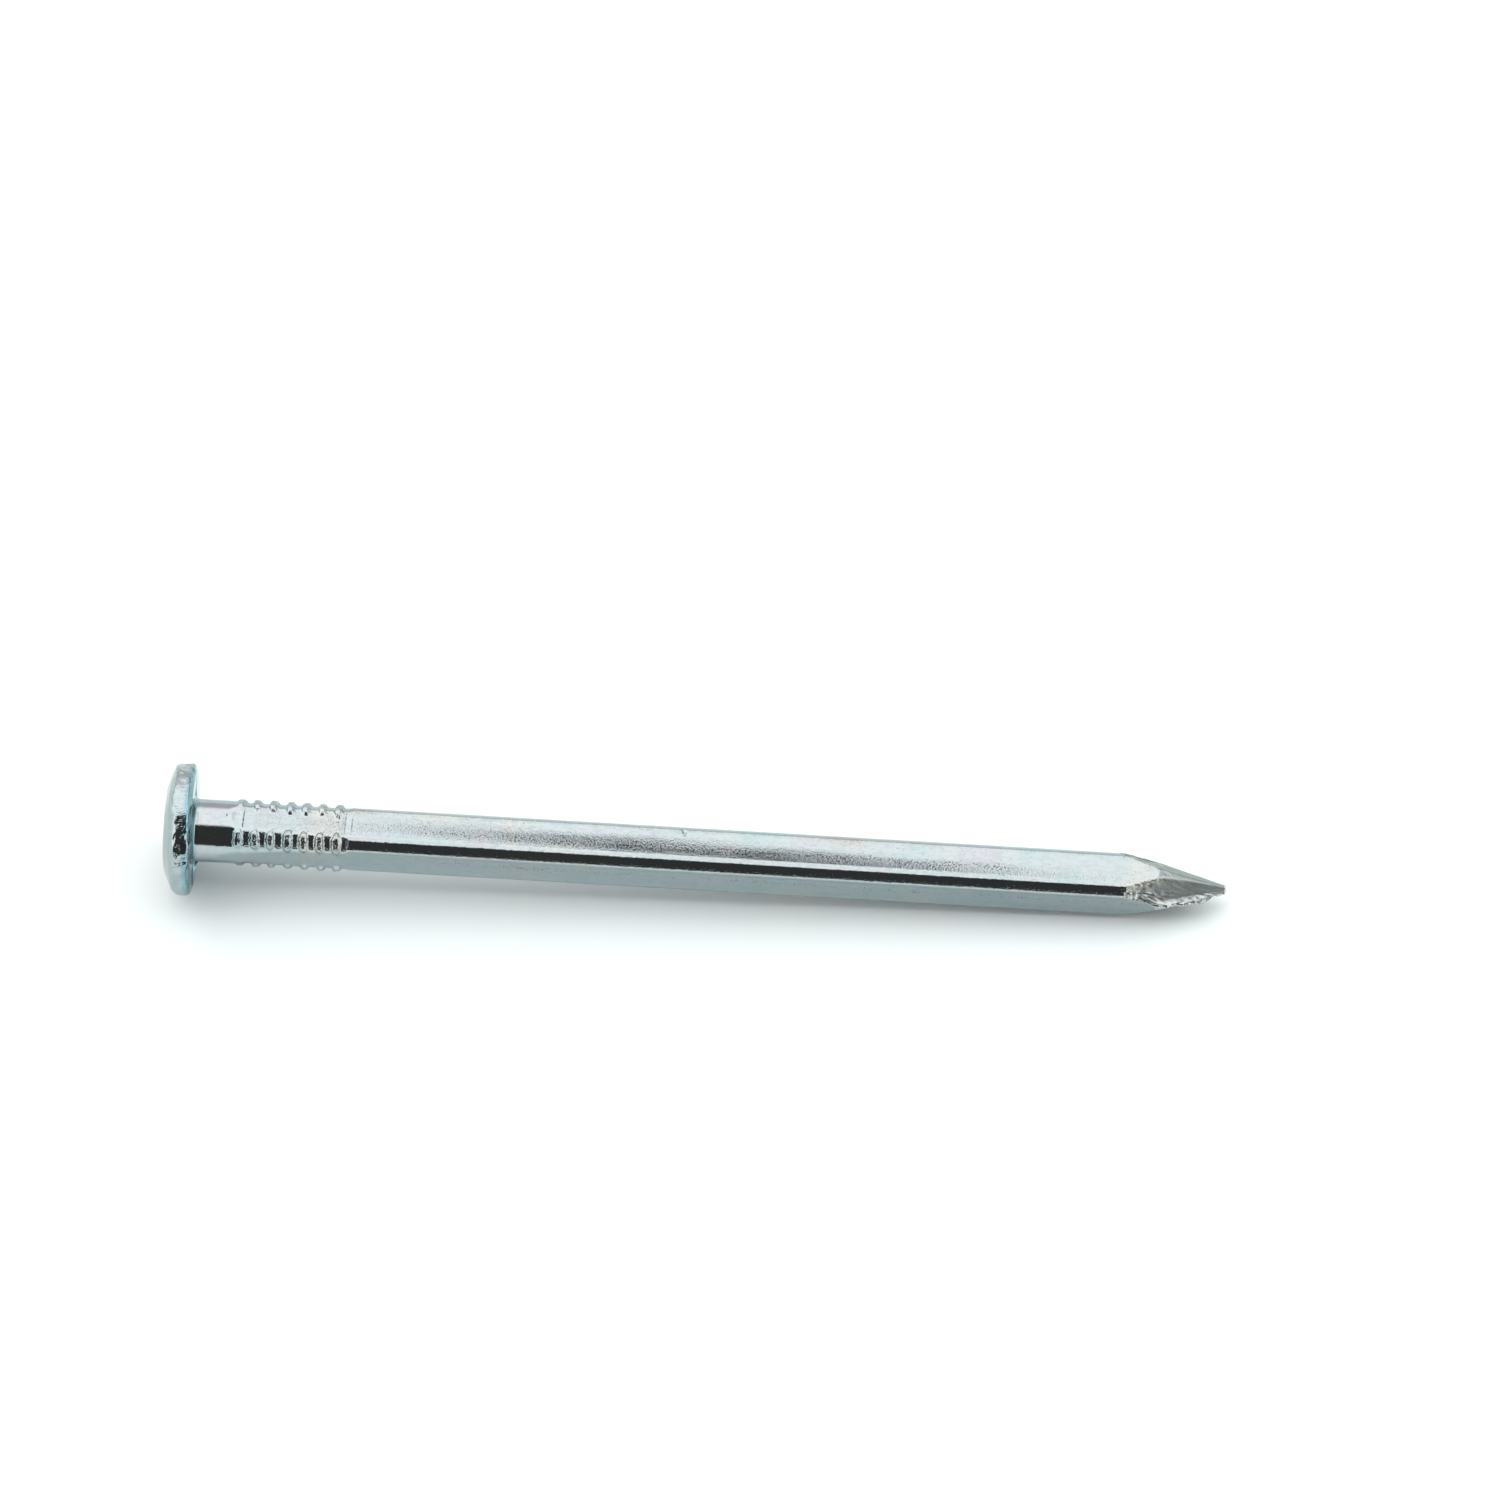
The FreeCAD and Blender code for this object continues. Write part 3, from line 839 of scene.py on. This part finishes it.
ZINC = (0.445, 0.495, 0.515, 1.0)
ZINC_STRAW = (0.51, 0.515, 0.485, 1.0)
ZINC_LILAC = (0.465, 0.47, 0.515, 1.0)
ZINC_TEAL = (0.4, 0.485, 0.5, 1.0)
PIT = (0.10, 0.095, 0.105, 1.0)
SHEARED = (0.35, 0.385, 0.37, 1.0)
WARM = (0.7, 0.7, 0.62, 1.0)             # worn steel on the mottled border
GOUGE = (0.1, 0.105, 0.1, 1.0)
FRESH = (0.8, 0.83, 0.82, 1.0)           # bright ridges and burr
STAIN = (0.36, 0.30, 0.24, 1.0)
SLANT_SHADE = (0.81, 0.855, 0.865, 1.0)      # painted shade where the plating is seen at a slant, with its teal tint,
EDGE_ON_SHADE = (0.9, 0.92, 0.905, 1.0)        # and greyer, darker painted shade where it is seen nearly edge-on
UNDER_HEAD_SHADE = (0.62, 0.84, 0.92, 1.0)     # painted shade, darker and bluer, in the corner under the head
CROWN_FILM = (1.09, 1.03, 0.99, 1.0)     # a thin film on the crown,
STRAW_FILM = (0.93, 0.83, 0.75, 1.0)     # and low on it
PASSIVATE_EDGE = (0.92, 0.96, 0.945, 1.0)  # grey-green where the surface is seen edge-on
SHEAR_TURN = (0.0, -0.25, 0.243)         # lays the shear's grain aslant on the facets


def zinc_patterns(graph):
    """The noise that the plating's colour, roughness and bump are made from."""
    ordinary = graph.nodes.new("ShaderNodeTexCoord").outputs["Object"]
    place = graph.moved(ordinary, turn=(0.0, -math.atan2(-AXIS.z, AXIS.x), 0.0))
    rolled = graph.moved(place, scale=(0.09, 1.0, 1.0))
    sheared = graph.moved(graph.moved(place, turn=SHEAR_TURN), scale=(0.13, 1.0, 1.0))
    return SimpleNamespace(
        patches=graph.noise(place, 5.0, 3.0),
        clouds=graph.noise(graph.moved(place, shift=(0.03, 0.01, 0.02)), 3.2, 3.0),
        streaks=graph.noise(rolled, 0.42, 3.0, 0.6),
        grain=graph.noise(place, 0.15, 2.0, 0.6),
        mottle=graph.noise(graph.moved(place, scale=(0.5, 1.0, 1.0)), 0.3, 2.0, 0.7),
        torn=graph.noise(sheared, 0.16, 2.0, 0.6),
        fine=graph.noise(graph.moved(place, shift=(0.01, 0.02, 0.03)), 0.085, 1.0),
    )


def zinc_colour(graph, noise, mask):
    """Passivate tints, dull streaks, pits, bare steel and stains; over them painted shade at a
    slant and under the head, and the crown's tints.
    """
    dull = graph.total(graph.ramp(noise.streaks, 0.5, 0.72, 0.0, 0.2),
                       graph.ramp(noise.mottle, 0.4, 0.7, 0.0, 0.35))
    pits_above = graph.math("SUBTRACT", graph.ramp(noise.patches, 0.3, 0.7, 0.735, 0.665),
                            graph.product(mask.speckle, 0.22))
    pits = graph.math("SUBTRACT", noise.grain, pits_above)
    layers = (
        (graph.ramp(noise.patches, 0.5, 0.7, 0.0, 0.75), ZINC_STRAW),
        (graph.ramp(noise.clouds, 0.52, 0.7, 0.0, 0.8), ZINC_LILAC),
        (graph.ramp(noise.clouds, 0.48, 0.33, 0.0, 0.8), ZINC_TEAL),
        (dull, SHEARED),
        (graph.ramp(pits, 0.0, 0.05, 0.0, 0.8), PIT),
        (graph.product(mask.facet, graph.ramp(noise.mottle, 0.3, 0.7, 1.0, 0.75)), SHEARED),
        (graph.product(mask.mottled, graph.ramp(noise.mottle, 0.42, 0.52)), WARM),
        (graph.product(graph.total(mask.gouged, mask.mottled),
                       graph.ramp(noise.torn, 0.52, 0.58, 0.0, 0.9)), GOUGE),
        (graph.product(mask.gouged, graph.ramp(noise.torn, 0.47, 0.4, 0.0, 0.95)), FRESH),
        (graph.product(mask.burr, graph.ramp(noise.grain, 0.35, 0.6, 0.6, 1.0)), FRESH),
        (graph.product(mask.stain, graph.ramp(noise.grain, 0.4, 0.6, 0.2, 0.9)), STAIN),
    )
    slant = graph.nodes.new("ShaderNodeLayerWeight").outputs["Facing"]
    films_and_shade = (
        # painted shade by viewing angle: darker at a slant, greyer nearly edge-on, plus the
        # passivate's teal tint
        (graph.ramp(slant, 0.2, 0.45), SLANT_SHADE),
        (graph.ramp(slant, 0.55, 0.75), EDGE_ON_SHADE),
        # painted shade in the corner under the head
        (mask.underside, UNDER_HEAD_SHADE),
        (mask.crown, CROWN_FILM),
        (mask.low_crown, STRAW_FILM),
    )
    colour = ZINC
    for share, layer in layers:
        colour = graph.tint(share, colour, layer)
    for share, shade_and_film in films_and_shade:
        colour = graph.tint(share, colour, shade_and_film, "MULTIPLY")
    return colour


def zinc_roughness(graph, noise, mask):
    """Bright plating, cloudy and streaked, and duller steel on the facets and the burr."""
    return graph.total(
        graph.ramp(noise.clouds, 0.3, 0.7, 0.045, 0.095),
        graph.ramp(noise.streaks, 0.35, 0.7, 0.0, 0.03),
        graph.product(mask.facet, 0.3),
        graph.product(mask.burr, 0.12),
        graph.product(mask.speckle, 0.02),
    )


def zinc_relief(graph, noise, mask):
    """Relief too fine for the mesh. Each line ends with its height in millimetres."""
    return graph.total(*(graph.product(*parts) for parts in (
        (noise.grain, 0.004),
        (noise.grain, mask.land, 0.03),
        (noise.fine, 0.002),
        (noise.streaks, 0.0015),
        (noise.grain, mask.speckle, 0.003),
        (noise.grain, mask.rough_rim, 0.016),
        (noise.mottle, mask.rough_rim, 0.05),
        (noise.grain, mask.bead, 0.02),
        (noise.torn, mask.gouged, -0.06),
        (noise.mottle, mask.mottled, 0.05),
        (noise.fine, mask.facet, 0.006),
        (noise.grain, mask.burr, 0.02),
    )))


def zinc_plate():
    """Bright zinc with a clear blue passivate, over rolled, forged and sheared steel."""
    material = bpy.data.materials.new("zinc_plated_steel")
    material.use_nodes = True
    shader = material.node_tree.nodes["Principled BSDF"]
    graph = Graph(material.node_tree)
    noise = zinc_patterns(graph)
    mask = SimpleNamespace()
    for attribute, names in MASKS.items():
        vars(mask).update(zip(names, graph.masks(attribute)))
    bump = graph.nodes.new("ShaderNodeBump")
    bump.inputs["Distance"].default_value = MM
    graph.feed(bump.inputs["Height"], zinc_relief(graph, noise, mask))
    graph.feed(shader.inputs["Normal"], bump.outputs["Normal"])
    graph.feed(shader.inputs["Base Color"], zinc_colour(graph, noise, mask))
    graph.feed(shader.inputs["Roughness"], zinc_roughness(graph, noise, mask))
    shader.inputs["Metallic"].default_value = 1.0
    shader.inputs["Specular Tint"].default_value = PASSIVATE_EDGE
    return material


# ---------------------------------------------------------------------------------------
# Stage
# ---------------------------------------------------------------------------------------
FLOOR_SIZE = 6.0
FLOOR_COLOUR = (0.9, 0.9, 0.9, 1.0)


def plain_floor():
    """A white paper floor at height 0."""
    bpy.ops.mesh.primitive_plane_add(size=FLOOR_SIZE)
    floor = bpy.context.object
    floor.name = "floor"
    material = bpy.data.materials.new("paper_white")
    material.use_nodes = True
    shader = material.node_tree.nodes["Principled BSDF"]
    shader.inputs["Base Color"].default_value = FLOOR_COLOUR
    shader.inputs["Roughness"].default_value = 1.0
    shader.inputs["Specular IOR Level"].default_value = 0.0
    floor.data.materials.append(material)


CAMERA_AZIMUTH = 2.4          # degrees
CAMERA_ELEVATION = 55.0
CAMERA_DISTANCE = 0.321
CAMERA_TARGET = Vector((0.003375, 0.0121, 0.0))
CAMERA_LENS = 103.2


def make_camera():
    """The photo's camera."""
    camera = bpy.data.objects.new("camera", bpy.data.cameras.new("camera"))
    bpy.context.scene.collection.objects.link(camera)
    turn, rise = math.radians(CAMERA_AZIMUTH), math.radians(CAMERA_ELEVATION)
    level = math.cos(rise)
    back = Vector((math.sin(turn) * level, -math.cos(turn) * level, math.sin(rise)))
    camera.location = CAMERA_TARGET + back * CAMERA_DISTANCE
    camera.rotation_euler = back.to_track_quat("Z", "Y").to_euler()
    camera.data.lens = CAMERA_LENS
    camera.data.clip_start = 0.01
    bpy.context.scene.camera = camera


# The studio round the nail, as directions: 0 degrees is level on the camera's side, 90 is
# overhead and 180 is level on the far side. Sideways is towards the point's end. Each edge
# is a softness to either side of a limit.
TOP_LIGHT = 1.66
FAR_LIGHT = 0.86
FAR_START = 149.0             # beyond this, the far side is dimmer
FAR_EDGE = 5.0
DARK_ROOM = 0.055
DARK_TOP = 76.0               # the unlit room on the camera's side ends this far up
DARK_TOP_EDGE = 4.0
DARK_SIDEWAYS = (-36.0, 45.0)  # and this far to each side
DARK_SIDE_EDGE = 9.0
GAP_RISE = (118.7, 124.8)     # an unlit gap between two softboxes
GAP_RISE_EDGE = 0.8
GAP_SIDEWAYS = (-0.6, 5.4)
GAP_SIDE_EDGE = 1.2
SIDE_GAP = (26.0, 54.0)       # a dimmer stretch of the tent towards the point's end
SIDE_GAP_EDGE = 5.0
SIDE_GAP_RISE = 113.0         # it begins this far up
SIDE_GAP_RISE_EDGE = 6.0
SIDE_SHARE = 0.5              # the light left there
FILL_SHARE = 1.2              # how much of this light reaches the floor
FILL_TINT = (0.93, 1.0, 1.005, 1.0)
BACKDROP = 1.3                # what the camera sees beyond the floor
WHITE = (1.0, 1.0, 1.0, 1.0)
KEY_RISE = 104.0
KEY_DISTANCE = 0.6
KEY_SIZE = 0.5
KEY_POWER = 0.3
KEY_COLOUR = (1.0, 0.98, 0.975)


def edge_at(graph, angle, limit, softness, below=0.0, above=1.0):
    """One value below an angle and another above it, with a soft edge."""
    return graph.ramp(angle, limit - softness, limit + softness, below, above)


def between(graph, angle, limits, softness):
    """1 for an angle between two limits and 0 outside them, with soft edges."""
    low, high = limits
    return graph.product(edge_at(graph, angle, low, softness),
                         edge_at(graph, angle, high, softness, 1.0, 0.0))


def studio_light():
    """A bright tent, open to a dark room behind the camera and dimmer low on the far side."""
    world = bpy.data.worlds.new("studio")
    bpy.context.scene.world = world
    world.use_nodes = True
    graph = Graph(world.node_tree)
    parts = graph.nodes.new("ShaderNodeSeparateXYZ")
    direction = graph.nodes.new("ShaderNodeTexCoord").outputs["Generated"]
    graph.feed(parts.inputs["Vector"], direction)
    towards = graph.product(parts.outputs["Y"], -1.0)
    rise = graph.math("DEGREES", graph.math("ARCTAN2", parts.outputs["Z"], towards))
    sideways = graph.math("DEGREES", graph.math("ARCSINE", parts.outputs["X"]))

    tent = edge_at(graph, rise, FAR_START, FAR_EDGE, TOP_LIGHT, FAR_LIGHT)
    dark = graph.product(edge_at(graph, rise, DARK_TOP, DARK_TOP_EDGE, 1.0, 0.0),
                         between(graph, sideways, DARK_SIDEWAYS, DARK_SIDE_EDGE))
    lit = graph.product(tent, graph.math("SUBTRACT", 1.0, dark))
    gap = graph.product(between(graph, rise, GAP_RISE, GAP_RISE_EDGE),
                        between(graph, sideways, GAP_SIDEWAYS, GAP_SIDE_EDGE))
    side_gap = graph.product(between(graph, sideways, SIDE_GAP, SIDE_GAP_EDGE),
                             edge_at(graph, rise, SIDE_GAP_RISE, SIDE_GAP_RISE_EDGE))
    rays = graph.nodes.new("ShaderNodeLightPath").outputs
    strength = graph.product(
        graph.total(lit, graph.product(dark, DARK_ROOM)),
        graph.ramp(gap, 0.0, 1.0, 1.0, 0.0),
        graph.ramp(side_gap, 0.0, 1.0, 1.0, SIDE_SHARE),
        graph.ramp(rays["Is Diffuse Ray"], 0.0, 1.0, 1.0, FILL_SHARE),
    )
    backdrop = graph.product(rays["Is Camera Ray"], BACKDROP)
    background = world.node_tree.nodes["Background"]
    graph.feed(background.inputs["Color"], graph.tint(rays["Is Diffuse Ray"], WHITE, FILL_TINT))
    graph.feed(background.inputs["Strength"], graph.math("MAXIMUM", strength, backdrop))
    bpy.context.scene.view_settings.view_transform = "Standard"


def key_light():
    """A softbox nearly overhead that lights the floor. The metal reflects the tent instead."""
    light = bpy.data.objects.new("key", bpy.data.lights.new("key", "AREA"))
    bpy.context.scene.collection.objects.link(light)
    rise = math.radians(KEY_RISE)
    up = Vector((0.0, -math.cos(rise), math.sin(rise)))
    light.location = up * KEY_DISTANCE
    light.rotation_euler = up.to_track_quat("Z", "Y").to_euler()
    light.data.shape = "SQUARE"
    light.data.size = KEY_SIZE
    light.data.energy = KEY_POWER
    light.data.color = KEY_COLOUR
    light.visible_glossy = False
    light.visible_camera = False


steel = build_nail()
steel.data.materials.append(zinc_plate())
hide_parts("nail")
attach(steel, "root")
plain_floor()
studio_light()
key_light()
make_camera()
